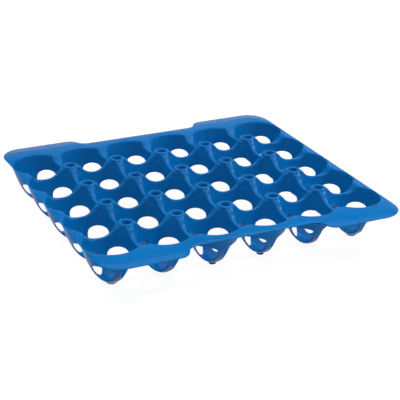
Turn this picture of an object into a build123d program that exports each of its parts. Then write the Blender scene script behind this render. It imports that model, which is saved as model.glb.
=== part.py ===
"""A moulded plastic tray for thirty eggs: pointed cups on a square grid, in one solid.

X runs along the longer rows of cups, Y along the shorter ones and Z up.
The origin is on the floor under the middle of the tray, and all sizes are in millimetres.
"""

import os
from math import atan2, cos, hypot, radians, sin, tan

from build123d import *

# Grid of cups
columns = 6
rows = 5
pitch = 48.0

# Thickness of the moulded wall
wall = 1.2

# Heights above the floor, from the feet up
foot_height = 1.8
dish_height = 7.1
shoulder_height = 26.5
saddle_height = 33.2
flange_top = 39.5
post_top = 43.5

# Cups: a many-sided funnel in three bands, measured across its flats
cup_sides = 16
tip_radius = 4.0
dish_radius = 11.0
shoulder_radius = 22.8
mouth_radius = 26.95

# Windows: one in each quarter of a cup, widest above its middle. They are cut with pyramids
# that reach this many radii out from the cup's axis.
window_top = 25.3
window_wide_top = 19.0
window_wide_bottom = 13.6
window_bottom = 7.9
window_cut_reach = 1.5

# Hollow posts where four cups meet
post_width = 14.0
post_hole_radius = 4.8
hole_sides = 8

# Ridges from post to post, which sag to a saddle between the posts
saddle_width = 9.0
sag_width = 35.0
sag_length = 20.0

# Flange round the rim, with its two long sides stepped in at the middle
flange_thickness = 1.3
flange_width = 292.0
flange_depth = 292.0
flange_corner_radius = 21.0
waist_depth = 262.0
waist_half_width = 55.0
step_length = 21.0
tongue_length = 7.6

# Round feet under the cups of every other column
foot_radius = 3.4
foot_sides = 6
foot_columns = (0, 2, 3, 5)

side_angle = 360.0 / cup_sides
diagonals = (45.0, 135.0, 225.0, 315.0)
half_side = side_angle / 2


def band(lower_radius, lower_height, upper_radius, upper_height):
    """One straight band of a funnel, cut from a pyramid that stands on its point."""
    flare = (upper_radius - lower_radius) / (upper_height - lower_height)
    point_height = lower_height - lower_radius / flare
    with BuildPart() as funnel:
        with BuildSketch(Plane.XY.offset(upper_height)) as mouth:
            RegularPolygon(upper_radius, cup_sides, major_radius=False, rotation=side_angle / 2)
        loft(sections=[mouth.sketch.face(), Vertex(0, 0, point_height)], ruled=True)
        if lower_radius > 0:
            split(bisect_by=Plane.XY.offset(lower_height), keep=Keep.TOP)
    return funnel.part


def inset(profile, distance):
    """The inner corners of a profile, where its lines cross once moved in by a wall."""
    moved = []
    for (r0, z0), (r1, z1) in zip(profile, profile[1:]):
        length = hypot(r1 - r0, z1 - z0)
        start = (r0 - (z1 - z0) / length * distance, z0 + (r1 - r0) / length * distance)
        moved.append((start, (r1 - r0, z1 - z0)))
    corners = []
    for ((r0, z0), (dr0, dz0)), ((r1, z1), (dr1, dz1)) in zip(moved, moved[1:]):
        along = ((r1 - r0) * dz1 - (z1 - z0) * dr1) / (dr0 * dz1 - dz0 * dr1)
        corners.append((r0 + along * dr0, z0 + along * dz0))
    return corners


# Profile of a cup from its tip to its mouth, as distance from the axis to a flat and height
outer_profile = [
    (tip_radius, foot_height),
    (dish_radius, dish_height),
    (shoulder_radius, shoulder_height),
    (mouth_radius, post_top),
]
mouth_flare = (mouth_radius - shoulder_radius) / (post_top - shoulder_height)
inner_dish, inner_shoulder = inset(outer_profile, wall)
inner_point = (0.0, foot_height + wall)
inner_top = post_top + wall
inner_mouth = (inner_shoulder[0] + mouth_flare * (inner_top - inner_shoulder[1]), inner_top)


def corner_radius(height):
    """Distance from the cup's axis to the corners of its outer side at a height."""
    share = (height - dish_height) / (shoulder_height - dish_height)
    return (dish_radius + share * (shoulder_radius - dish_radius)) / cos(radians(side_angle / 2))


# Window corners lie on the corner lines of the cup, so that every edge runs in a flat side
window_corners = (
    (half_side, window_top),
    (3 * half_side, window_wide_top),
    (3 * half_side, window_wide_bottom),
    (half_side, window_bottom),
    (-half_side, window_bottom),
    (-3 * half_side, window_wide_bottom),
    (-3 * half_side, window_wide_top),
    (-half_side, window_top),
)
window_middle = (window_top + window_bottom) / 2
middle_radius = corner_radius(window_middle) * cos(radians(half_side))
window_lean = atan2(shoulder_radius - dish_radius, shoulder_height - dish_height)
apex_height = window_middle + middle_radius * tan(window_lean)


def window_cutter(turn):
    """A pyramid from a point on the cup's axis out through the corners of one window."""
    out = Vector(cos(radians(turn)), sin(radians(turn)), 0)
    normal = out * cos(window_lean) - Vector(0, 0, 1) * sin(window_lean)
    apex = Vector(0, 0, apex_height)
    depth = window_cut_reach * middle_radius / cos(window_lean)
    plane = Plane(origin=apex + normal * depth, x_dir=Vector(0, 0, 1).cross(out), z_dir=normal)
    points = []
    for angle, height in window_corners:
        radius = corner_radius(height)
        azimuth = radians(turn + angle)
        ray = Vector(radius * cos(azimuth), radius * sin(azimuth), height - apex_height)
        local = plane.to_local_coords(apex + ray * (depth / ray.dot(normal)))
        points.append((local.X, local.Y))
    with BuildPart() as cutter:
        with BuildSketch(plane) as outline:
            Polygon(*points, align=None)
        loft(sections=[Vertex(*apex), outline.sketch.face()], ruled=True)
    return cutter.part


# Outside of one cup, and all that is cut from it
with BuildPart() as cup_body:
    add(band(*outer_profile[0], *outer_profile[1]))
    add(band(*outer_profile[1], *outer_profile[2]))
    add(band(*outer_profile[2], *outer_profile[3]))

with BuildPart() as cup_space:
    add(band(*inner_point, *inner_dish))
    add(band(*inner_dish, *inner_shoulder))
    add(band(*inner_shoulder, *inner_mouth))
    for diagonal in diagonals:
        add(window_cutter(diagonal))

# The space over one ridge, a trough that leaves it sagging between two posts
sag_spread = (sag_width - saddle_width) / 2 / (post_top - saddle_height)
sag_top = post_top + wall
sag_reach = sag_width / 2 + sag_spread * wall
with BuildPart() as sag:
    with BuildSketch(Plane.XZ):
        Polygon(
            (-saddle_width / 2, saddle_height),
            (saddle_width / 2, saddle_height),
            (sag_reach, sag_top),
            (-sag_reach, sag_top),
            align=None,
        )
    extrude(amount=sag_length / 2, both=True)

# One quarter of the flange's outline, with the S-shaped step as two arcs
half_width = flange_width / 2
half_depth = flange_depth / 2
half_waist = waist_depth / 2
step_start = (waist_half_width, half_waist)
step_middle = (waist_half_width + step_length / 2, (half_depth + half_waist) / 2)
step_end = (waist_half_width + step_length, half_depth)
corner_start = (half_width - flange_corner_radius, half_depth)
corner_end = (half_width, half_depth - flange_corner_radius)

with BuildPart() as tray:
    with GridLocations(pitch, pitch, columns, rows):
        add(cup_body.part)
    # Flat tops of the posts
    with BuildSketch(Plane.XY.offset(post_top - wall)):
        with GridLocations(pitch, pitch, columns - 1, rows - 1):
            Rectangle(post_width, post_width)
    extrude(amount=wall)
    # Sagging ridges, first those along the rows and then those across
    with GridLocations(pitch, pitch, columns, rows - 1):
        add(sag.part, mode=Mode.SUBTRACT)
    with GridLocations(pitch, pitch, columns - 1, rows):
        add(sag.part, rotation=(0, 0, 90), mode=Mode.SUBTRACT)
    # Outer cups stop at the flange, beyond their middles
    with BuildSketch(Plane.XY.offset(flange_top)):
        Rectangle((columns + 1) * pitch, (rows + 1) * pitch)
        Rectangle((columns - 1) * pitch, (rows - 1) * pitch, mode=Mode.SUBTRACT)
    extrude(amount=post_top - flange_top, mode=Mode.SUBTRACT)
    # Flange, whose tongues run in between the outer cups
    with BuildSketch(Plane.XY.offset(flange_top - flange_thickness)):
        with BuildLine():
            Line((0, half_waist), step_start)
            TangentArc(step_start, step_middle, tangent=(1, 0))
            TangentArc(step_end, step_middle, tangent=(-1, 0))
            Line(step_end, corner_start)
            TangentArc(corner_start, corner_end, tangent=(1, 0))
            Polyline(corner_end, (half_width, 0), (0, 0), (0, half_waist))
        make_face()
        mirror(about=Plane.XZ)
        mirror(about=Plane.YZ)
        Rectangle(
            columns * pitch - 2 * tongue_length,
            rows * pitch - 2 * tongue_length,
            mode=Mode.SUBTRACT,
        )
    extrude(amount=flange_thickness)
    # Insides of the cups, with their windows
    with GridLocations(pitch, pitch, columns, rows):
        add(cup_space.part, mode=Mode.SUBTRACT)
    # Holes down into the posts
    with BuildSketch(Plane.XY.offset(post_top)):
        with GridLocations(pitch, pitch, columns - 1, rows - 1):
            RegularPolygon(post_hole_radius, hole_sides)
    extrude(amount=-2 * wall, mode=Mode.SUBTRACT)
    # Feet
    with BuildSketch():
        for column in foot_columns:
            with Locations(((column - (columns - 1) / 2) * pitch, 0)):
                with GridLocations(pitch, pitch, 1, rows):
                    RegularPolygon(foot_radius, foot_sides)
    extrude(amount=foot_height)

tray.part.label = "tray"
os.makedirs("parts", exist_ok=True)
export_step(tray.part, "parts/tray.step")
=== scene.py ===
"""Looks of the plastic egg tray, as an add-on that builds its smooth mesh, material and stage.

All sizes in the formulas are in millimetres. Heights are measured from the post tops, so those
below are negative. The mesh is moved to metres and to the floor when it is made.

Each cup is made of four quadrants. In a quadrant, points are given from the cup's middle along
its two sides, as u and s. Half a quadrant faces one side: u runs out to the side, which lies at
half a pitch, and s runs along it.
"""

import math

import bpy
import numpy as np
from mathutils import Matrix, Vector


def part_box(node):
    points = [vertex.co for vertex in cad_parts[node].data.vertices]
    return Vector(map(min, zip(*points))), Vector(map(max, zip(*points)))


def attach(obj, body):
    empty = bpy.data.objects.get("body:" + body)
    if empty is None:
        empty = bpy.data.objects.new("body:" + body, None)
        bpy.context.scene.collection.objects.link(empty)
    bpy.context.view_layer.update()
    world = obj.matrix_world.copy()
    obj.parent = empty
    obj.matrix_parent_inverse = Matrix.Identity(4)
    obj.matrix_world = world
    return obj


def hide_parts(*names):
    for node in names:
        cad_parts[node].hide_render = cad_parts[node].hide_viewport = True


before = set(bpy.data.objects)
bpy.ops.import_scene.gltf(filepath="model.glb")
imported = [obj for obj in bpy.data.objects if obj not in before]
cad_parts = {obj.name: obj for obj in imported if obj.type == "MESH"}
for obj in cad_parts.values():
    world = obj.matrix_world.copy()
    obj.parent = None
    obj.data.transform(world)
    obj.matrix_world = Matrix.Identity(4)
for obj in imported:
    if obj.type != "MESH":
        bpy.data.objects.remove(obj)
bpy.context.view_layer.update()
_, tray_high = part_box("tray")

bl_info = {
    "name": "Egg tray looks",
    "version": (1, 0, 0),
    "blender": (4, 5, 0),
    "location": "3D View > Sidebar > Egg tray",
    "description": "Builds the smooth moulded tray, its plastic and the stage round it",
    "category": "Add Mesh",
}

MILLIMETRES = 1000.0

# Height and half width of the whole tray, from the frame
POST_TOP = round(tray_high.z * MILLIMETRES, 3)
HALF_OUTLINE = round(tray_high.x * MILLIMETRES, 3)

# Grid of cups, as in the CAD part
COLUMNS = 6
ROWS = 5
PITCH = 48.0
HALF = PITCH / 2

# Outline of the flange, with its long sides stepped in at the middle, and the points that its
# arcs and sides are worked out with
HALF_WAIST = 131.0
WAIST_END = 55.0
STEP_END = 76.0
CORNER_RADIUS = 21.0
ARC_POINTS = 40
SIDE_POINTS = 60

# Height of the flange beside the cups, and its fall beyond two lines by the square of the way
FLANGE_TOP = -3.6
FALL_START_X = 130.0
FALL_START_Y = 112.0
FALL_X = 0.0045
FALL_Y = 0.0013

# The flange's edge turns down over its last stretch
EDGE_WIDTH = 0.3
EDGE_DROP = 0.25

# Outside of a cup: the height of its tip, its own height, and the two terms of its curve
CUP_TIP = -41.7
CUP_HEIGHT = 44.5
CUP_WIDTH = 23.5
CUP_CURL = 0.155
PROFILE_POINTS = 4000

# How far a cup's wall flares out near its mouth, the height where that starts and its rise
FLARE = 0.35
FLARE_START = -13.0
FLARE_HEIGHT = 9.0

# Plane of a window on the cup's diagonal, by distance out and height: its top and its slope
WINDOW_TOP_OUT = 21.4
WINDOW_TOP_HEIGHT = -18.4
WINDOW_RUN = -12.0
WINDOW_DROP = -18.0

# Egg shape of a window in its plane, measured down the wall from the top
WINDOW_HALF_WIDTH = 10.1
WINDOW_WIDEST = 7.4
WINDOW_UPPER = 7.2
WINDOW_LOWER = 14.2
WINDOW_TAPER = 0.35
WINDOW_MIDDLE = 11.0
WINDOW_POINTS = 700

# Rounded edge of a window: its width, how far it bends outwards, and what share of that down
LIP_WIDTH = 0.3
LIP_BEND = 0.22
LIP_DOWN = 0.7

# Search for the cup's surface along a normal of the window's plane: from where to where, and
# how often the stretch is halved
SEARCH_START = -4.0
SEARCH_END = 9.0
HALVINGS = 40

# Where the mesh of one cup changes from the wall to a window's patch and from that to the dish
WINDOW_PATCH_TOP = -14.6
WINDOW_PATCH_BOTTOM = -37.7

# Heights of the points on the sides of a window's patch, and shares of the way of the rings
# round a window, of those in the dish and of the rows up the wall
SIDE_HEIGHTS = (-18.6, -22.4, -26.4, -30.6, -34.6)
WINDOW_SHARES = (0.3, 0.62, 1.0)
DISH_SHARES = (1.0, 0.82, 0.62, 0.42, 0.21, 0.0)
WALL_SHARES = (0.0, 0.36, 0.72)

# Angles of the columns of half a quadrant, in degrees, and how many columns there are in a
# half, in a whole quadrant and in its dish
HALF_ANGLES = (0.0, 7.4, 14.2, 20.2, 25.4, 29.8, 33.4, 36.5, 39.4, 42.2, 45.0)
HALF_COLUMNS = len(HALF_ANGLES)
ALL_COLUMNS = 2 * HALF_COLUMNS - 1
DISH_COLUMNS = 9

# The column of half a quadrant at which a post's flank begins, and the columns that it adds
POST_COLUMN = 7
POST_EXTRA = 3

# Lowest point of a ridge, and where a ridge ends on the side of a post
SADDLE = -10.8
RIDGE_END = -2.0

# How far a ridge's crest falls to its sides, as a share of its half width
CROWN = 0.3

# Rounded edge of a ridge: how deep it starts, how much deeper that is beside a post, and the
# share of the ridge's half thickness that it takes in
RIDGE_LIP = 1.7
POST_LIP = 2.3
LIP_SHARE = 0.72

# Places along a ridge of the mesh's columns, on its rounded edge and on its middle line, first
# for a ridge that ends at a post and then for one that ends at a tongue
POST_LIP_PLACES = (0.0, 3.2, 6.2, 9.0, 11.4, 13.3, 14.6)
POST_LINE_PLACES = (0.0, 3.2, 6.2, 9.0, 11.5, 13.6, 15.0)
TONGUE_LIP_PLACES = (0.0, 3.2, 6.2, 9.0, 11.4, 13.6, 15.4)
TONGUE_LINE_PLACES = (0.0, 3.2, 6.2, 9.0, 11.4, 13.8, 16.4)

# Where a ridge's climb to a tongue ends, and the steps from there out to the tray's outline
TONGUE_START = TONGUE_LINE_PLACES[-1]
TONGUE_SHARES = (0.12, 0.35, 0.65, 1.0)

# Where a post's flank leaves the cup's wall: angle round the cup in degrees, and height
FLANK_ANGLES = (36.9, 36.9, 36.9, 36.9, 39.7, 42.3, 45.0)
FLANK_HEIGHTS = (-6.0, -6.0, -6.0, -6.1, -7.6, -8.9, -9.4)

# Foot of a post's flank: distance from the post's middle, turn from the ridge, and height
POST_FOOT_DISTANCES = (8.0, 8.05, 8.05, 8.05, 8.3, 8.45, 8.5)
POST_FOOT_TURNS = (27.0, 28.5, 29.5, 30.0, 35.0, 40.0, 45.0)
POST_FOOT_HEIGHTS = (RIDGE_END, -2.9, -3.2, -3.6, -5.4, -6.6, -7.0)

# Turns round a post, in degrees from the ridge, of the columns on its ring and its hole
RING_TURNS = (26.0, 32.5, 38.8, 45.0)
HOLE_TOP_TURNS = (8.0, 18.0, 31.0, 45.0)
HOLE_TURNS = (0.0, 15.0, 30.0, 45.0)

# Rows of a ridge with a post: share of the way to its middle line, and turn of the ring's wall
CREST_ROWS = ((0.0, 20.0), (0.25, 13.0), (0.5, 6.5), (1.0, 0.0))

# Ring on a post: how far its foot stands out, how far its rounded edge comes in, over a ridge
# and elsewhere, and how far that edge dips
RING_FOOT = 0.6
RING_RIDGE_ROUND = 0.7
RING_ROUND = 0.8
RING_DIP = 0.5

# Rounded edge of a post's hole: its width and how far it dips
HOLE_ROUND = 0.3
HOLE_DIP = 0.25

# Tube under a post's hole: its lower end, and its inside and outside from the hole's radius
TUBE_END = -5.2
TUBE_INSIDE = -0.2
TUBE_OUTSIDE = 0.5

# How far the rounded rim of a cup reaches down its wall and out into the flange
RIM_DEPTH = 3.0
RIM_REACH = 2.0

# Rounding of the corners between a cup's wall and the top: the share by which a single corner
# is drawn each way, and the lengths at the foot and the top of a wall that stands between two
CORNER_EASE = 0.35
WALL_FOOT_ROUND = 0.9
WALL_TOP_ROUND = 0.8

# Columns whose cups stand on a foot, and those whose bottoms run down to the floor as a tip
FOOT_COLUMNS = (2, 3)
TIP_COLUMNS = (0, 5)
PLAIN, FOOT, TIP = 0, 1, 2

# Under side of a dish with a foot or a tip: number of the ring, its radius and its height
FOOT_PROFILE = ((2, 3.5, -41.0), (3, 3.4, -43.15), (4, 2.95, -43.5), (5, 0.0, -43.5))
TIP_PROFILE = ((2, 5.6, -41.1), (3, 4.2, -42.5), (4, 2.3, -43.4), (5, 0.0, -43.5))

# Rows of each patch that the coarser under side keeps
TOP_KEPT = (0, 2, 3, 5, 6, 8, 10, 11)
WINDOW_KEPT = (0, 2, 4)
DISH_KEPT = (0, 1, 2, 3, 4, 5)

# Points in one cell of a grid with this many steps to a millimetre are one point. The shift
# keeps points off the borders of the cells.
WELD_STEPS = 2000
WELD_SHIFT = 0.0000371

# Least distance of the under side from the middle of a ridge, and how near a point on it is
CELL_GAP = 0.03
ON_LINE = 0.001

# Directions of the four sides of a cup
SIDES = tuple(np.array(side) for side in ((1.0, 0.0), (0.0, 1.0), (-1.0, 0.0), (0.0, -1.0)))

# Smallest lengths and differences that count
TINY = 1e-9
SMALL = 1e-6

# Angle between faces, in degrees, from which an edge is shown as sharp
SHARP_ANGLE = 55

# The photo's camera, fitted to the posts and rims: place in metres, angles in degrees and lens
CAMERA_PLACE = (-0.45550, -0.97690, 0.48888)
CAMERA_AZIMUTH = -25.42
CAMERA_ELEVATION = 23.57
CAMERA_ROLL = 0.686
CAMERA_LENS = 110.75


class EggTraySettings(bpy.types.PropertyGroup):
    """Sizes and finish of the tray that can be changed in the sidebar."""

    wall: bpy.props.FloatProperty(
        name="Wall",
        description="Thickness of the moulded wall",
        default=0.0012,
        unit="LENGTH",
    )
    sag_radius: bpy.props.FloatProperty(
        name="Ridge arc",
        description="Radius of the hanging arc of each ridge",
        default=0.016,
        unit="LENGTH",
    )
    ring_radius: bpy.props.FloatProperty(
        name="Post ring",
        description="Outer radius of the ring on each post",
        default=0.0074,
        unit="LENGTH",
    )
    hole_radius: bpy.props.FloatProperty(
        name="Post hole",
        description="Radius of the hole in each post",
        default=0.0047,
        unit="LENGTH",
    )
    plastic: bpy.props.FloatVectorProperty(
        name="Plastic",
        description="Colour of the plastic",
        subtype="COLOR",
        size=3,
        default=(0.001, 0.14, 0.42),
    )
    roughness: bpy.props.FloatProperty(
        name="Roughness",
        description="Roughness of the plastic",
        default=0.24,
        subtype="FACTOR",
    )


# Form of one cup


def cup_profile(wall):
    """Radius and height of a cup's inner side.

    The square of the outer side's radius is the cup's width times d, less its curl times d
    squared, with d the height over the tip. The inner side lies one wall inside it along its
    normal. Near the mouth it flares out by a smooth step.
    """
    t = np.linspace(0.0, 1.0, PROFILE_POINTS)[1:]
    d = CUP_HEIGHT * t**2
    r = np.sqrt(CUP_WIDTH * d - CUP_CURL * d**2)
    z = d + CUP_TIP
    dr = np.gradient(r)
    dz = np.gradient(z)
    length = np.hypot(dr, dz)
    inner_r = r - wall * dz / length
    inner_z = z + wall * dr / length
    keep = inner_r > 0
    inner_r, inner_z = inner_r[keep], inner_z[keep]
    share = np.clip((inner_z - FLARE_START) / FLARE_HEIGHT, 0.0, 1.0)
    inner_r = inner_r + FLARE * share**2 * (3 - 2 * share)
    inner_r = np.concatenate([[0.0], inner_r])
    inner_z = np.concatenate([[inner_z[0]], inner_z])
    return inner_r, inner_z


class Cup:
    """The surface of revolution that all the patches of a cup lie on."""

    def __init__(self, wall):
        """Works out the profile of the inner side for a wall's thickness."""
        self.r, self.z = cup_profile(wall)

    def radius(self, z):
        """Radius of the inner side at a height."""
        return np.interp(z, self.z, self.r)

    def height(self, r):
        """Height of the inner side at a radius."""
        return np.interp(r, self.r, self.z)

    def point(self, angle, z):
        """Points at angles, in radians, and heights on the surface."""
        r = self.radius(z)
        return np.stack([r * np.cos(angle), r * np.sin(angle), z], axis=-1)


def window_outline():
    """Polar outline of a window, an egg with its blunt end up.

    Above its widest place the egg is half an ellipse. Below it, the half width is that of an
    ellipse times one less the taper times the square of the share of the way to its point. It
    is given as angle and distance round the window's middle, in its plane, where the first
    coordinate runs down the wall and the second across.
    """
    t = np.linspace(0.0, 2 * math.pi, WINDOW_POINTS)[:-1]
    u = np.maximum(-np.cos(t), 0.0)
    down = WINDOW_WIDEST - np.cos(t) * np.where(np.cos(t) > 0, WINDOW_UPPER, WINDOW_LOWER)
    across = WINDOW_HALF_WIDTH * np.sin(t) * (1 - WINDOW_TAPER * u**2)
    angle = np.arctan2(across, down - WINDOW_MIDDLE)
    order = np.argsort(angle)
    return angle[order], np.hypot(across, down - WINDOW_MIDDLE)[order]


def window_frame():
    """Origin and axes of the window plane, as distance out on the diagonal, across it and up."""
    top = np.array([WINDOW_TOP_OUT, 0.0, WINDOW_TOP_HEIGHT])
    down = np.array([WINDOW_RUN, 0.0, WINDOW_DROP])
    down /= np.linalg.norm(down)
    across = np.array([0.0, 1.0, 0.0])
    normal = np.array([-down[2], 0.0, down[0]])
    return top, down, across, normal


def on_surface(cup, s, w):
    """Angle and height where the plane's normals at its points (s, w) meet the cup, by halving."""
    top, down, across, normal = window_frame()
    base = top + s[:, None] * down + w[:, None] * across
    low = np.full(len(s), SEARCH_START)
    high = np.full(len(s), SEARCH_END)
    for _ in range(HALVINGS):
        middle = (low + high) / 2
        p = base + middle[:, None] * normal
        inside = np.hypot(p[:, 0], p[:, 1]) < cup.radius(p[:, 2])
        low = np.where(inside, middle, low)
        high = np.where(inside, high, middle)
    p = base + low[:, None] * normal
    return np.arctan2(p[:, 1], p[:, 0]) + math.pi / 4, p[:, 2]


def top_angles():
    """Angles of a quadrant's columns where the patches meet, the same from both of its sides."""
    half = np.radians(HALF_ANGLES)
    return np.concatenate([half, math.pi / 2 - half[-2::-1]])


def window_border():
    """Angles and heights of the 40 points round the edge of a window's patch, as a closed ring."""
    side = np.array(SIDE_HEIGHTS)
    bottom = np.linspace(math.pi / 2, 0.0, DISH_COLUMNS)
    angle = np.concatenate(
        [top_angles(), np.full(len(side), math.pi / 2), bottom, np.zeros(len(side))]
    )
    top_z = np.full(ALL_COLUMNS, WINDOW_PATCH_TOP)
    bottom_z = np.full(DISH_COLUMNS, WINDOW_PATCH_BOTTOM)
    return angle, np.concatenate([top_z, side, bottom_z, side[::-1]])


def window_patch(cup):
    """Rings of 40 points from a window's edge out to the edge of its patch, as (5, 40, 3).

    Each ring's points lie between the window's rounded edge and the border by a share of the
    way in angle and in height. The first ring bends off the surface to round the edge.
    """
    angle, z = window_border()
    outer = cup.point(angle, z)
    origin, down, across, _ = window_frame()
    out = (outer[:, 0] + outer[:, 1]) / math.sqrt(2)
    over = (outer[:, 1] - outer[:, 0]) / math.sqrt(2)
    local = np.stack([out, over, outer[:, 2]], axis=1) - origin
    s, w = local @ down, local @ across
    seen = np.arctan2(w, s - WINDOW_MIDDLE)
    edge_angle, edge_distance = window_outline()
    reach = np.interp(seen, edge_angle, edge_distance, period=2 * math.pi)
    edge_a, edge_z = on_surface(cup, WINDOW_MIDDLE + reach * np.cos(seen), reach * np.sin(seen))
    wide = reach + LIP_WIDTH
    lip_a, lip_z = on_surface(cup, WINDOW_MIDDLE + wide * np.cos(seen), wide * np.sin(seen))
    rings = [cup.point(edge_a, edge_z), cup.point(lip_a, lip_z)]
    for share in WINDOW_SHARES:
        rings.append(cup.point(lip_a + share * (angle - lip_a), lip_z + share * (z - lip_z)))
    inward = -rings[0] * (1.0, 1.0, 0.0) / np.hypot(rings[0][:, 0], rings[0][:, 1])[:, None]
    rings[0] = rings[0] - LIP_BEND * (inward + (0.0, 0.0, LIP_DOWN))
    return np.stack(rings)


def dish_patch(cup):
    """The closed bottom of a quadrant: five rings of quarter circles and its middle point."""
    angle = np.linspace(0.0, math.pi / 2, DISH_COLUMNS)
    start = cup.radius(WINDOW_PATCH_BOTTOM)
    rings = []
    for share in DISH_SHARES:
        r = start * share
        z = WINDOW_PATCH_BOTTOM if share == 1.0 else cup.height(r)
        rings.append(np.stack([r * np.cos(angle), r * np.sin(angle), np.full(DISH_COLUMNS, z)], axis=1))
    return np.stack(rings)


# Form of the top: ridges, posts and flange


def flange_height(x, y):
    """The flange falls ever more from the cups to its edge, as the square of the way."""
    over_y = np.maximum(np.abs(y) - FALL_START_Y, 0.0)
    over_x = np.maximum(np.abs(x) - FALL_START_X, 0.0)
    return FLANGE_TOP - FALL_Y * over_y**2 - FALL_X * over_x**2


def wall_rows(t, k1, k2, e, lift):
    """Six rows from the cup wall at t to the top at e, past the rounded corners k1 and k2.

    A rounded corner is a quarter of the point before it, half of the corner and a quarter of
    the point after it. lift is 0 where the two corners are one, as on a ridge, and 1 where a
    wall stands between them. At 0 both corners are drawn a share of the way to t and e.
    """
    blend = lift[:, None]
    corner = (k1 + k2) / 2
    k1 = k1 + (1 - blend) * CORNER_EASE * (t - corner)
    k2 = k2 + (1 - blend) * CORNER_EASE * (e - corner)
    span = k2 - k1
    length = np.linalg.norm(span, axis=1)[:, None]
    step = span / np.maximum(length, SMALL)
    m1 = k1 + step * np.minimum(WALL_FOOT_ROUND, length / 3)
    m2 = k2 - step * np.minimum(WALL_TOP_ROUND, length / 3)
    return [
        t,
        0.25 * t + 0.5 * k1 + 0.25 * m1,
        m1,
        m2,
        0.25 * m2 + 0.5 * k2 + 0.25 * e,
        e,
    ]


def finish_half(cup, t_angle, t_z, k1, k2, e, border, lift):
    """Rows of half a quadrant, from the window's patch up the wall and on to the border.

    The wall's rows lie between the patch's edge and the points t on the wall, which are given
    by their angles and heights, by a share of the way in both. Where a post stands, more
    columns start at one point of the patch.
    """
    first = top_angles()[:HALF_COLUMNS]
    if len(t_angle) > HALF_COLUMNS:
        first = np.insert(first, [POST_COLUMN] * POST_EXTRA, first[POST_COLUMN])
    rows = []
    for share in WALL_SHARES:
        angle = first + share * (t_angle - first)
        z = WINDOW_PATCH_TOP + share * (t_z - WINDOW_PATCH_TOP)
        rows.append(cup.point(angle, z))
    rows += wall_rows(cup.point(t_angle, t_z), k1, k2, e, lift)
    rows += border
    return np.stack(rows)


def ridge_lip(cup, s, z, depth):
    """Corner, wall point and top point of a ridge's rounded edge at the places s along it.

    The corner is where the cup's wall would meet the ridge's height z. The wall point lies a
    depth under it, and the top point a share of the way from it to the ridge's middle.
    """
    r = cup.radius(z)
    u = np.sqrt(r**2 - s**2)
    corner = np.stack([u, s, z], axis=1)
    t_z = z - depth
    t_angle = np.arctan2(s, u)
    e = corner.copy()
    e[:, 0] += LIP_SHARE * (HALF - u)
    return corner, t_angle, t_z, e


def ridge_arc(s, sag):
    """Height of a sagging ridge: a hanging circle of radius sag, cut off where the post starts."""
    inside = np.minimum(np.abs(s), sag)
    return np.minimum(SADDLE + sag - np.sqrt(sag**2 - inside**2), RIDGE_END)


def round_post(radius, turn, z):
    """Points round a post: at a radius, at a turn from the ridge in degrees, and at a height."""
    turn = np.radians(turn)
    return np.stack([HALF - radius * np.sin(turn), HALF - radius * np.cos(turn), z + 0 * turn], axis=1)


def half_post(cup, sag, ring, hole):
    """Half a quadrant with a ridge that sags from the middle of its side up to a post.

    The ridge's crest follows its arc and falls from its middle line by the square of the way.
    The post is a cone's flank up to a ring, and inside the ring a flat top with a round hole.
    """
    lip_s = np.array(POST_LIP_PLACES)
    depth = RIDGE_LIP + POST_LIP * (lip_s / lip_s[-1]) ** 3
    corner, t_angle, t_z, e = ridge_lip(cup, lip_s, ridge_arc(lip_s, sag), depth)
    t_angle = np.concatenate([t_angle, np.radians(FLANK_ANGLES)])
    t_z = np.concatenate([t_z, FLANK_HEIGHTS])

    # The post's flank, from the ridge's end round to the diagonal: its foot and its upper edge
    foot = round_post(
        np.array(POST_FOOT_DISTANCES), np.array(POST_FOOT_TURNS), np.array(POST_FOOT_HEIGHTS)
    )
    edge = round_post(
        np.concatenate([POST_FOOT_DISTANCES[:1], np.full(6, ring)]),
        np.concatenate([POST_FOOT_TURNS[:1], RING_TURNS[:1], RING_TURNS[:1], RING_TURNS]),
        np.array([RIDGE_END, -RING_DIP, -RING_DIP / 5, 0.0, 0.0, 0.0, 0.0]),
    )
    k1 = np.concatenate([corner, foot])
    k2 = np.concatenate([corner, edge])

    # The ring's wall over the ridge, from its foot to its top, and the flat top round the hole
    wall_radius = np.array([ring + RING_FOOT, ring, ring - RING_RIDGE_ROUND])
    wall_z = np.array([RIDGE_END, -RING_DIP, 0.0])
    inner = round_post(np.full(4, ring - RING_ROUND), np.array(RING_TURNS), np.zeros(4))
    hole_top = round_post(np.full(4, hole + HOLE_ROUND), np.array(HOLE_TOP_TURNS), np.zeros(4))
    hole_edge = round_post(np.full(4, hole), np.array(HOLE_TURNS), np.full(4, -HOLE_DIP))

    # Rows from the edge e to the ridge's middle line, each with its own turn round the post
    line_s = np.array(POST_LINE_PLACES)
    line = np.stack([np.full(len(line_s), HALF), line_s, ridge_arc(line_s, sag)], axis=1)
    rows = []
    for share, wall_turn in CREST_ROWS:
        ridge = e + share * (line - e)
        ridge[:, 2] = ridge_arc(ridge[:, 1], sag) - CROWN * (1 - share) ** 2 * (HALF - e[:, 0])
        wall = round_post(wall_radius, np.full(3, wall_turn), wall_z)
        top = inner + min(2 * share, 1.0) * (hole_top - inner) if share < 1 else hole_edge
        rows.append(np.concatenate([ridge, wall, top]))

    # No wall stands along the ridge, but for a hint of one at its end, and one does on the flank
    lift = np.concatenate([np.zeros(6), [0.2, 0.0], np.ones(6)])
    return finish_half(cup, t_angle, t_z, k1, k2, rows[0], rows[1:], lift)


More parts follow.
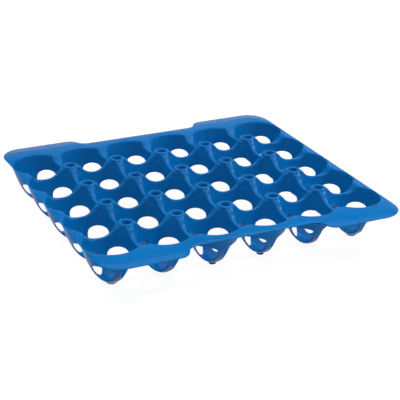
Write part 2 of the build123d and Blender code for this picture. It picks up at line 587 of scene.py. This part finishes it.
def half_tongue(cup, reach, height):
    """Half a quadrant with a ridge that climbs to a tongue of the flange.

    From the saddle the ridge climbs to the flange's height by the fourth power of the way. Its
    crest falls from its middle line by the square of the way, and ever less towards the
    flange. reach is where its middle line meets the tray's outline.
    """

    def top(s, u):
        """Height of the ridge or the flange at a place."""
        return SADDLE + (height(u, s) - SADDLE) * (np.minimum(s, TONGUE_START) / TONGUE_START) ** 4

    lip_s = np.array(TONGUE_LIP_PLACES)
    depth = RIDGE_LIP + (RIM_DEPTH - RIDGE_LIP) * (lip_s / TONGUE_START) ** 3
    corner, t_angle, t_z, e = ridge_lip(cup, lip_s, top(lip_s, HALF), depth)
    last_angle = t_angle[-1]
    turn = last_angle + (math.pi / 4 - last_angle) * np.array([0.25, 0.5, 0.75, 1.0])
    rim_corner, rim_e = rim_rows(cup, turn, height)
    k = np.concatenate([corner, rim_corner])
    e = np.concatenate([e, rim_e])
    t_angle = np.concatenate([t_angle, turn])
    t_z = np.concatenate([t_z, rim_corner[:, 2] - RIM_DEPTH])

    tongue_s = TONGUE_START + (reach - TONGUE_START) * np.array(TONGUE_SHARES)
    line_s = np.concatenate([TONGUE_LINE_PLACES, tongue_s])
    line = np.stack([np.full(HALF_COLUMNS, HALF), line_s, top(line_s, HALF)], axis=1)
    climb = np.minimum(e[:, 1], TONGUE_START) / TONGUE_START
    fall = CROWN * (1 - climb**2) * (HALF - e[:, 0])
    between = []
    for share in (0.25, 0.5):
        row = e + share * (line - e)
        row[:, 2] = top(row[:, 1], row[:, 0]) - (1 - share) ** 2 * fall
        between.append(row)
    between[1][-1] = line[-1] - (0.0, EDGE_WIDTH, 0.0)
    e[:, 2] = top(e[:, 1], e[:, 0]) - fall
    line[-1, 2] -= EDGE_DROP
    return finish_half(cup, t_angle, t_z, k, k, e, [*between, line], np.zeros(HALF_COLUMNS))


def rim_rows(cup, angle, height):
    """Corner and top point of the rounded rim where a cup meets the flange.

    The corner is where the cup's wall crosses the flange's height, found by four rounds of
    setting one from the other. The top point lies the rim's reach further out.
    """
    z = np.full(len(angle), FLANGE_TOP)
    for _ in range(4):
        r = cup.radius(z)
        z = height(r * np.cos(angle), r * np.sin(angle))
    corner = np.stack([r * np.cos(angle), r * np.sin(angle), z], axis=1)
    out = corner * (1.0, 1.0, 0.0) / r[:, None]
    e = corner + RIM_REACH * out
    e[:, 2] = height(e[:, 0], e[:, 1])
    return corner, e


def half_flange(cup, path, height):
    """Half a quadrant where the cup's rim turns out into the flange, up to the outline path.

    The rim's top points take at most half of the room to the outline. One row lies halfway
    from them to the last, which is an edge's width inside the outline.
    """
    angle = top_angles()[:HALF_COLUMNS]
    corner, e = rim_rows(cup, angle, height)
    border = np.concatenate([path, height(path[:, 0], path[:, 1])[:, None]], axis=1)
    room = np.linalg.norm(path - corner[:, :2], axis=1)
    reach = np.minimum(1.0, 0.5 * room / RIM_REACH)[:, None]
    e[:, :2] = corner[:, :2] + reach * (e[:, :2] - corner[:, :2])
    e[:, 2] = height(e[:, 0], e[:, 1])
    gap = np.linalg.norm(border - e, axis=1)[:, None]
    near = border - (border - e) * np.minimum(EDGE_WIDTH / np.maximum(gap, SMALL), 0.5)
    near[:, 2] = height(near[:, 0], near[:, 1])
    middle = (e + near) / 2
    middle[:, 2] = height(middle[:, 0], middle[:, 1])
    border[:, 2] -= EDGE_DROP
    t_z = corner[:, 2] - RIM_DEPTH
    rows = [middle, near, border]
    return finish_half(cup, angle, t_z, corner, corner, e, rows, np.zeros(HALF_COLUMNS))


def outline_path():
    """The tray's outline in the quarter where x and y are positive, from the front's middle.

    A straight waist, an S of two equal arcs out to the full width, a straight stretch, a
    quarter circle for the corner and the straight short side.
    """
    step = STEP_END - WAIST_END
    drop = HALF_OUTLINE - HALF_WAIST
    radius = (step**2 + drop**2) / (4 * drop)
    sweep = 2 * math.atan2(drop, step)
    a = np.linspace(0.0, sweep, ARC_POINTS)
    first = np.stack([WAIST_END + radius * np.sin(a), HALF_WAIST + radius * (1 - np.cos(a))], axis=1)
    second = np.array([WAIST_END + STEP_END, HALF_WAIST + HALF_OUTLINE]) - first[::-1]
    c = np.linspace(math.pi / 2, 0.0, SIDE_POINTS)
    centre = HALF_OUTLINE - CORNER_RADIUS
    corner = centre + CORNER_RADIUS * np.stack([np.cos(c), np.sin(c)], axis=1)
    start_x = np.linspace(0.0, WAIST_END, SIDE_POINTS)[:-1]
    start = np.stack([start_x, np.full(len(start_x), HALF_WAIST)], axis=1)
    side_x = np.linspace(STEP_END, centre, SIDE_POINTS)[1:-1]
    side = np.stack([side_x, np.full(len(side_x), HALF_OUTLINE)], axis=1)
    end_y = np.linspace(centre, 0.0, 2 * SIDE_POINTS + 1)[1:]
    end = np.stack([np.full(len(end_y), HALF_OUTLINE), end_y], axis=1)
    return np.concatenate([start, first, second[1:], side, corner, end])


def resample(path, count):
    """The path at count even steps of its length."""
    length = np.concatenate([[0.0], np.cumsum(np.linalg.norm(np.diff(path, axis=0), axis=1))])
    at = np.linspace(0.0, length[-1], count)
    return np.stack([np.interp(at, length, path[:, 0]), np.interp(at, length, path[:, 1])], axis=1)


def cut_path(path, axis, low, high):
    """The stretch of a path with one coordinate between two values, ends included."""
    inside = path[(path[:, axis] > low + TINY) & (path[:, axis] < high - TINY)]
    order = np.argsort(path[:, axis], kind="stable")
    other = 1 - axis
    ends = np.interp([low, high], path[order, axis], path[order, other])
    first = np.zeros(2)
    last = np.zeros(2)
    first[axis], first[other] = low, ends[0]
    last[axis], last[other] = high, ends[1]
    inside = inside[np.argsort(inside[:, axis], kind="stable")]
    return np.concatenate([[first], inside, [last]])


def height_near(centre, along_u, along_s):
    """The flange's height as a function of the local coordinates u and s of half a quadrant."""

    def height(u, s):
        """Height of the flange at a local place."""
        x = centre[0] + u * along_u[0] + s * along_s[0]
        y = centre[1] + u * along_u[1] + s * along_s[1]
        return flange_height(x, y)

    return height


def side_path(outline, centre, along_u, along_s):
    """The outline over half of a cup's outer side, as local (u, s) from the side's middle out.

    It is cut from the quarter outline, as if mirrored there, and gets the signs of the side.
    """
    axis = 0 if abs(along_s[0]) > 0.5 else 1
    start = centre[axis]
    end = centre[axis] + HALF * along_s[axis]
    low, high = sorted((abs(start), abs(end)))
    if axis == 0:
        part = outline[outline[:, 1] >= HALF_WAIST - SMALL]
        part = part[part[:, 0] <= HALF_OUTLINE - CORNER_RADIUS + SMALL]
    else:
        part = outline[outline[:, 0] >= HALF_OUTLINE - SMALL]
    path = resample(cut_path(part, axis, low, high), HALF_COLUMNS)
    if abs(start) > abs(end):
        path = path[::-1]
    sign = np.empty(2)
    sign[1 - axis] = np.sign(along_u[1 - axis])
    sign[axis] = np.sign(centre[axis]) if abs(centre[axis]) > TINY else np.sign(along_s[axis])
    local = path * sign - centre
    return np.stack([local @ along_u, local @ along_s], axis=1)


def corner_path(outline, centre, along_a, along_b):
    """The outline round a corner of the tray, as local places from side a to side b."""
    low_x, low_y = np.abs(centre)
    part = outline[(outline[:, 0] >= low_x - TINY) & (outline[:, 1] >= low_y - TINY)]
    part = part[part[:, 0] > low_x + TINY]
    part = np.concatenate([[[low_x, HALF_OUTLINE]], part, [[HALF_OUTLINE, low_y]]])
    local = resample(part, ALL_COLUMNS) * np.sign(centre) - centre
    path = np.stack([local @ along_a, local @ along_b], axis=1)
    if path[0, 0] < path[-1, 0]:
        path = path[::-1]
    return path


def quadrant_rows(cup, sizes, centre, along_a, along_b, open_a, open_b, outline):
    """All rows of one quadrant above the windows, as (12, columns, 3) along its sides a and b.

    An inner quadrant is two halves of a post. At the edge of the tray a half that faces out is
    flange, and one that faces another outer cup is a tongue. The second half is built on side
    b and mirrored on the diagonal.
    """
    height_a = height_near(centre, along_a, along_b)
    height_b = height_near(centre, along_b, along_a)
    if not open_a and not open_b:
        first = half_post(cup, *sizes)
        second = half_post(cup, *sizes)
    elif open_a and open_b:
        path = corner_path(outline, centre, along_a, along_b)
        first = half_flange(cup, path[:HALF_COLUMNS], height_a)
        second = half_flange(cup, path[: HALF_COLUMNS - 2 : -1][:, ::-1], height_b)
    elif open_a:
        path = side_path(outline, centre, along_a, along_b)
        first = half_flange(cup, path, height_a)
        second = half_tongue(cup, path[-1, 0], height_b)
    else:
        path = side_path(outline, centre, along_b, along_a)
        second = half_flange(cup, path, height_b)
        first = half_tongue(cup, path[-1, 0], height_a)
    mirrored = second[:, ::-1][:, 1:][..., [1, 0, 2]]
    return np.concatenate([first, mirrored], axis=1)


# The tray as one closed mesh


def grid_quads(rows, columns, closed=False):
    """Corner numbers of the squares of a grid whose points run along its rows."""
    steps = columns if closed else columns - 1
    i, j = np.meshgrid(np.arange(rows - 1), np.arange(steps), indexing="ij")
    k = (j + 1) % columns
    near, far = i * columns, (i + 1) * columns
    return np.stack([near + j, near + k, far + k, far + j], axis=-1).reshape(-1, 4)


def coarse_quads(kept, columns, closed):
    """Corner numbers of the squares of a grid that keeps only some of its rows."""
    quads = grid_quads(len(kept), columns, closed)
    return np.array(kept)[quads // columns] * columns + quads % columns


def face_normals(points, quads):
    """The cross products of the faces' diagonals, as long as twice the faces' areas."""
    a, b, c, d = (points[quads[:, n]] for n in range(4))
    return np.cross(c - a, d - b)


def facing(points, quads):
    """The quads, turned so that on the whole they face the cup's axis and up."""
    middle = sum(points[quads[:, n]] for n in range(4)) / 4
    toward = -middle * (1.0, 1.0, 0.0)
    toward /= np.maximum(np.linalg.norm(toward, axis=1), TINY)[:, None]
    toward[:, 2] = 1.0
    return quads if np.sum(face_normals(points, quads) * toward) > 0 else quads[:, ::-1]


def top_side(cup, sizes):
    """Points and faces of the top side's patches, and the coarser faces of the under side.

    Each point also gets the number of its ring in the dish and the form of its cup's bottom.
    """
    window = window_patch(cup)
    dish = dish_patch(cup)
    outline = outline_path()
    points, quads, under_quads, rings, forms = [], [], [], [], []
    start = 0
    for column in range(COLUMNS):
        form = FOOT if column in FOOT_COLUMNS else TIP if column in TIP_COLUMNS else PLAIN
        for row in range(ROWS):
            centre = np.array([(column - (COLUMNS - 1) / 2) * PITCH, (row - (ROWS - 1) / 2) * PITCH])
            open_sides = [column == COLUMNS - 1, row == ROWS - 1, column == 0, row == 0]
            for a in range(4):
                b = (a + 1) % 4
                rows = quadrant_rows(
                    cup, sizes, centre, SIDES[a], SIDES[b], open_sides[a], open_sides[b], outline
                )
                for patch, closed, kept in (
                    (rows, False, TOP_KEPT),
                    (window, True, WINDOW_KEPT),
                    (dish, False, DISH_KEPT),
                ):
                    flat = patch.reshape(-1, 3)
                    columns = patch.shape[1]
                    quads.append(facing(flat, grid_quads(patch.shape[0], columns, closed)) + start)
                    under_quads.append(facing(flat, coarse_quads(kept, columns, closed)) + start)
                    world = flat.copy()
                    world[:, :2] = centre + flat[:, :1] * SIDES[a] + flat[:, 1:2] * SIDES[b]
                    points.append(world)
                    ring = np.arange(len(flat)) // columns
                    rings.append(ring if patch is dish else 0 * ring)
                    forms.append(np.full(len(flat), form))
                    start += len(flat)
    return tuple(np.concatenate(part) for part in (points, quads, under_quads, rings, forms))


def weld(points):
    """Which points to keep, one for each place, and for every point the number of its place."""
    keys = np.round((points + WELD_SHIFT) * WELD_STEPS).astype(np.int64)
    _, first, inverse = np.unique(keys, axis=0, return_index=True, return_inverse=True)
    return first, inverse.reshape(-1)


def without_empty(quads):
    """The quads that still have at least three different corners."""
    same = sum((quads[:, n] == quads[:, (n + 1) % 4]).astype(int) for n in range(4))
    return quads[same < 2]


def point_normals(points, quads):
    """The sum of the normals of the faces round each point, brought to length one."""
    face_normal = face_normals(points, quads)
    normal = np.zeros_like(points)
    for n in range(4):
        np.add.at(normal, quads[:, n], face_normal)
    return normal / np.maximum(np.linalg.norm(normal, axis=1), TINY)[:, None]


def keep_in_cell(points, under):
    """Stops the under side of a ridge's two walls from passing through each other."""
    result = under.copy()
    for axis, cells in ((0, COLUMNS), (1, ROWS)):
        place = points[:, axis] / PITCH + cells / 2
        cell = np.clip(np.floor(place), 0, cells - 1)
        middle = (cell - (cells - 1) / 2) * PITCH
        local = points[:, axis] - middle
        moved = under[:, axis] - middle
        on_line = np.abs(np.abs(local) - HALF) < ON_LINE
        low = np.where(cell > 0, -HALF + CELL_GAP, -np.inf)
        high = np.where(cell < cells - 1, HALF - CELL_GAP, np.inf)
        inside = np.clip(moved, low, high)
        result[:, axis] = np.where(on_line, points[:, axis], middle + inside)
    return result


def add_feet(points, under, rings, forms):
    """Draws the under side of a dish's inner rings out into a small round foot or a smooth tip."""
    result = under.copy()
    place = points[:, :2] / PITCH + (COLUMNS / 2, ROWS / 2)
    centre = (np.floor(place) + 0.5 - (COLUMNS / 2, ROWS / 2)) * PITCH
    away = points[:, :2] - centre
    distance = np.maximum(np.linalg.norm(away, axis=1), TINY)[:, None]
    for form, profile in ((FOOT, FOOT_PROFILE), (TIP, TIP_PROFILE)):
        for ring_number, radius, height in profile:
            chosen = (forms == form) & (rings == ring_number)
            result[chosen, :2] = (centre + away / distance * radius)[chosen]
            result[chosen, 2] = height
    return result


def add_tubes(points, under, hole):
    """Draws the under side round a post's hole down into a short tube.

    The hole's own edge goes to the tube's inside, and the flat top's inner ring to its outside.
    """
    result = under.copy()
    place = points[:, :2] / PITCH + (COLUMNS / 2, ROWS / 2)
    centre = (np.round(place) - (COLUMNS / 2, ROWS / 2)) * PITCH
    away = points[:, :2] - centre
    distance = np.maximum(np.linalg.norm(away, axis=1), TINY)
    edge_limit = hole + HOLE_ROUND / 2
    ring_limit = hole + 2 * HOLE_ROUND
    inside = (0.0, edge_limit, hole + TUBE_INSIDE)
    outside = (edge_limit, ring_limit, hole + TUBE_OUTSIDE)
    for low, high, radius in (inside, outside):
        chosen = (distance > low) & (distance <= high) & (points[:, 2] > RIDGE_END)
        result[chosen, :2] = (centre + away / distance[:, None] * radius)[chosen]
        result[chosen, 2] = TUBE_END
    return result


def rim_bands(quads, count):
    """Faces that join each open edge of the top side to the same edge of the under side."""
    edges = np.concatenate([quads[:, [n, (n + 1) % 4]] for n in range(4)])
    edges = edges[edges[:, 0] != edges[:, 1]]
    _, index, uses = np.unique(np.sort(edges, axis=1), axis=0, return_index=True, return_counts=True)
    rim = edges[index[uses == 1]]
    return np.stack([rim[:, 1], rim[:, 0], rim[:, 0] + count, rim[:, 1] + count], axis=1)


def tray_mesh(wall, sag, ring, hole):
    """Points and faces of the whole tray as one closed shell, in metres from the floor.

    The top side is made of patches in each quadrant of each cup, joined where they meet. The
    under side is the top side moved by one wall along its normals, and bands close every edge.
    """
    points, quads, under_quads, rings, forms = top_side(Cup(wall), (sag, ring, hole))
    first, place = weld(points)
    points, rings, forms = points[first], rings[first], forms[first]
    quads = without_empty(place[quads])
    under_quads = without_empty(place[under_quads])
    count = len(points)

    under = keep_in_cell(points, points - wall * point_normals(points, quads))
    under = add_feet(points, under, rings, forms)
    under = add_tubes(points, under, hole)

    all_points = np.concatenate([points, under])
    all_quads = np.concatenate([quads, under_quads[:, ::-1] + count, rim_bands(quads, count)])
    all_points[:, 2] += POST_TOP
    used, all_quads = np.unique(all_quads, return_inverse=True)
    return all_points[used] / MILLIMETRES, all_quads.reshape(-1, 4)


def make_object(name, points, quads):
    """A mesh object from its points and faces, smooth but for its sharp edges.

    A face two of whose neighbouring corners are one becomes a triangle.
    """
    same = [quads[:, n] == quads[:, (n + 1) % 4] for n in range(4)]
    flat = np.any(same, axis=0)
    picks = np.array([[1, 2, 3], [0, 1, 3], [0, 1, 2], [0, 1, 2]])
    doubled = np.select([same[2][flat], same[0][flat], same[1][flat]], [2, 0, 1], default=3)
    triangles = np.take_along_axis(quads[flat], picks[doubled], axis=1)
    mesh = bpy.data.meshes.new(name)
    mesh.from_pydata(points.tolist(), [], quads[~flat].tolist() + triangles.tolist())
    mesh.validate()
    mesh.polygons.foreach_set("use_smooth", np.ones(len(mesh.polygons), dtype=bool))
    mesh.set_sharp_from_angle(angle=math.radians(SHARP_ANGLE))
    mesh.update()
    obj = bpy.data.objects.new(name, mesh)
    bpy.context.scene.collection.objects.link(obj)
    return obj


# Plastic


def map_range(tree, source, from_range, to_range, kind="LINEAR"):
    """The output of a node that carries a source's values from one range to another."""
    node = tree.nodes.new("ShaderNodeMapRange")
    node.interpolation_type = kind
    node.inputs["From Min"].default_value, node.inputs["From Max"].default_value = from_range
    node.inputs["To Min"].default_value, node.inputs["To Max"].default_value = to_range
    tree.links.new(source, node.inputs["Value"])
    return node.outputs["Result"]


def noise(tree, scale, detail):
    """The output of a noise node over the object's own coordinates."""
    place = tree.nodes.new("ShaderNodeTexCoord")
    node = tree.nodes.new("ShaderNodeTexNoise")
    node.inputs["Scale"].default_value = scale
    node.inputs["Detail"].default_value = detail
    tree.links.new(place.outputs["Object"], node.inputs["Vector"])
    return node.outputs["Fac"]


def plastic_material(colour, roughness):
    """Semi-gloss coloured plastic with faint mottling and a very fine moulded grain."""
    material = bpy.data.materials.new("tray_plastic")
    material.use_nodes = True
    tree = material.node_tree
    shader = tree.nodes["Principled BSDF"]
    cloud = noise(tree, scale=14.0, detail=3.0)
    tint = tree.nodes.new("ShaderNodeValToRGB")
    darker, lighter = 0.93, 1.07
    tint.color_ramp.elements[0].position = 0.3
    tint.color_ramp.elements[0].color = (*(darker * c for c in colour), 1)
    tint.color_ramp.elements[1].position = 0.7
    tint.color_ramp.elements[1].color = (*(min(lighter * c, 1) for c in colour), 1)
    tree.links.new(cloud, tint.inputs["Fac"])
    tree.links.new(tint.outputs["Color"], shader.inputs["Base Color"])
    gloss = map_range(tree, cloud, (0.3, 0.7), (roughness - 0.03, roughness + 0.04))
    tree.links.new(gloss, shader.inputs["Roughness"])
    bump = tree.nodes.new("ShaderNodeBump")
    bump.inputs["Strength"].default_value = 0.03
    bump.inputs["Distance"].default_value = 0.0002
    tree.links.new(noise(tree, scale=900.0, detail=2.0), bump.inputs["Height"])
    tree.links.new(bump.outputs["Normal"], shader.inputs["Normal"])
    shader.inputs["IOR"].default_value = 1.5
    shader.inputs["Specular IOR Level"].default_value = 0.1
    shader.inputs["Subsurface Weight"].default_value = 0.35
    shader.inputs["Subsurface Radius"].default_value = (0.2, 0.6, 1.0)
    shader.inputs["Subsurface Scale"].default_value = 0.0015
    return material


# Stage


def seen_ray(tree):
    """1 for rays from the camera and for those that a glossy or clear surface sends on."""
    path = tree.nodes.new("ShaderNodeLightPath")
    seen = path.outputs["Is Camera Ray"]
    for kind in ("Is Glossy Ray", "Is Transmission Ray"):
        larger = tree.nodes.new("ShaderNodeMath")
        larger.operation = "MAXIMUM"
        tree.links.new(seen, larger.inputs[0])
        tree.links.new(path.outputs[kind], larger.inputs[1])
        seen = larger.outputs["Value"]
    return seen


def floor_paper():
    """Pale paper for light that falls on it. Seen rays meet a white glow that takes shadow."""
    material = bpy.data.materials.new("floor_paper")
    material.use_nodes = True
    tree = material.node_tree
    shader = tree.nodes["Principled BSDF"]
    shader.inputs["Roughness"].default_value = 0.9
    shader.inputs["Specular IOR Level"].default_value = 0.1
    tint = tree.nodes.new("ShaderNodeValToRGB")
    tint.color_ramp.elements[0].color = (0.78, 0.78, 0.78, 1)
    tint.color_ramp.elements[1].color = (0.82, 0.82, 0.82, 1)
    tree.links.new(noise(tree, scale=2.0, detail=2.0), tint.inputs["Fac"])
    tree.links.new(tint.outputs["Color"], shader.inputs["Base Color"])
    glow = tree.nodes.new("ShaderNodeEmission")
    glow.inputs["Color"].default_value = (1, 1, 1, 1)
    glow.inputs["Strength"].default_value = 0.94
    shade = tree.nodes.new("ShaderNodeBsdfDiffuse")
    shade.inputs["Color"].default_value = (0.1, 0.1, 0.1, 1)
    both = tree.nodes.new("ShaderNodeAddShader")
    tree.links.new(shade.outputs["BSDF"], both.inputs[0])
    tree.links.new(glow.outputs["Emission"], both.inputs[1])
    mix = tree.nodes.new("ShaderNodeMixShader")
    tree.links.new(seen_ray(tree), mix.inputs["Fac"])
    tree.links.new(shader.outputs["BSDF"], mix.inputs[1])
    tree.links.new(both.outputs["Shader"], mix.inputs[2])
    tree.links.new(mix.outputs["Shader"], tree.nodes["Material Output"].inputs["Surface"])
    return material


def white_floor():
    """A square of pale paper under the tray, as part of the stage."""
    half = 6.0
    mesh = bpy.data.meshes.new("floor")
    corners = [(-half, -half, 0), (half, -half, 0), (half, half, 0), (-half, half, 0)]
    mesh.from_pydata(corners, [], [(0, 1, 2, 3)])
    mesh.materials.append(floor_paper())
    floor = bpy.data.objects.new("floor", mesh)
    bpy.context.scene.collection.objects.link(floor)


def area_light(name, place, target, size, power):
    """A soft square light at a place, turned to a target."""
    data = bpy.data.lights.new(name, "AREA")
    data.shape = "SQUARE"
    data.size = size
    data.energy = power
    light = bpy.data.objects.new(name, data)
    light.location = place
    aim = Vector(target) - Vector(place)
    light.rotation_euler = aim.to_track_quat("-Z", "Y").to_euler()
    bpy.context.scene.collection.objects.link(light)


def white_world():
    """A studio dome: white low down like a backdrop, dim above that and a soft box overhead."""
    world = bpy.data.worlds.new("studio")
    world.use_nodes = True
    tree = world.node_tree
    background = tree.nodes["Background"]
    background.inputs["Color"].default_value = (1, 1, 1, 1)
    place = tree.nodes.new("ShaderNodeTexCoord")
    split = tree.nodes.new("ShaderNodeSeparateXYZ")
    tree.links.new(place.outputs["Generated"], split.inputs["Vector"])
    up = split.outputs["Z"]
    total = tree.nodes.new("ShaderNodeMath")
    total.operation = "ADD"
    backdrop = map_range(tree, up, (0.12, 0.55), (0.5, 0.05), "SMOOTHSTEP")
    overhead = map_range(tree, up, (0.68, 0.82), (0.0, 2.15), "SMOOTHSTEP")
    tree.links.new(backdrop, total.inputs[0])
    tree.links.new(overhead, total.inputs[1])
    tree.links.new(total.outputs["Value"], background.inputs["Strength"])
    bpy.context.scene.world = world


def photo_camera():
    """The photo's own camera: place and angles fitted to the posts and rims."""
    data = bpy.data.cameras.new("camera")
    data.sensor_width = 36.0
    data.lens = CAMERA_LENS
    data.clip_start = 0.05
    data.clip_end = 50.0
    azimuth, elevation, roll = map(math.radians, (CAMERA_AZIMUTH, CAMERA_ELEVATION, CAMERA_ROLL))
    back = Vector(
        (
            math.sin(azimuth) * math.cos(elevation),
            -math.cos(azimuth) * math.cos(elevation),
            math.sin(elevation),
        )
    )
    right = (-back).cross(Vector((0, 0, 1))).normalized()
    up = back.cross(right)
    turned = right * math.cos(roll) + up * math.sin(roll)
    turned_up = up * math.cos(roll) - right * math.sin(roll)
    view = Matrix((turned, turned_up, back)).transposed().to_4x4()
    view.translation = CAMERA_PLACE
    camera = bpy.data.objects.new("camera", data)
    camera.matrix_world = view
    bpy.context.scene.collection.objects.link(camera)
    bpy.context.scene.camera = camera


# Operators and panel


class EGGTRAY_OT_add_tray(bpy.types.Operator):
    """Adds the smooth tray in place of the CAD one"""

    bl_idname = "eggtray.add_tray"
    bl_label = "Add tray"

    def execute(self, context):
        """Builds the mesh from the sidebar's sizes and gives it its plastic."""
        if "tray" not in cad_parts:
            raise RuntimeError("The frame has no tray that the smooth one could stand for")
        settings = context.scene.egg_tray
        lengths = (settings.wall, settings.sag_radius, settings.ring_radius, settings.hole_radius)
        points, quads = tray_mesh(*(length * MILLIMETRES for length in lengths))
        tray = make_object("smooth_tray", points, quads)
        tray.data.materials.append(plastic_material(tuple(settings.plastic), settings.roughness))
        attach(tray, "root")
        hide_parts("tray")
        return {"FINISHED"}


class EGGTRAY_OT_add_stage(bpy.types.Operator):
    """Adds the floor, the light, the world and the camera"""

    bl_idname = "eggtray.add_stage"
    bl_label = "Add stage"

    def execute(self, context):
        """Builds the stage round the tray."""
        white_world()
        white_floor()
        area_light("right_light", (1.15, -0.25, 1.15), target=(0, 0, 0.02), size=0.12, power=9.0)
        photo_camera()
        context.scene.view_settings.view_transform = "Standard"
        return {"FINISHED"}


class EGGTRAY_PT_panel(bpy.types.Panel):
    """Lists the tray's sizes and finish and the buttons that build it."""

    bl_idname = "EGGTRAY_PT_panel"
    bl_label = "Egg tray"
    bl_space_type = "VIEW_3D"
    bl_region_type = "UI"
    bl_category = "Egg tray"

    def draw(self, context):
        """Draws one line for each setting and each operator."""
        settings = context.scene.egg_tray
        for name in ("wall", "sag_radius", "ring_radius", "hole_radius", "plastic", "roughness"):
            self.layout.prop(settings, name)
        self.layout.operator("eggtray.add_tray")
        self.layout.operator("eggtray.add_stage")


CLASSES = (EggTraySettings, EGGTRAY_OT_add_tray, EGGTRAY_OT_add_stage, EGGTRAY_PT_panel)


def register():
    """Makes the classes known to Blender and gives the scene its settings."""
    for cls in CLASSES:
        bpy.utils.register_class(cls)
    bpy.types.Scene.egg_tray = bpy.props.PointerProperty(type=EggTraySettings)


def unregister():
    """Takes back what register added."""
    del bpy.types.Scene.egg_tray
    for cls in reversed(CLASSES):
        bpy.utils.unregister_class(cls)


def main():
    """Builds everything in order."""
    register()
    bpy.ops.eggtray.add_tray()
    bpy.ops.eggtray.add_stage()


if __name__ == "__main__":
    main()
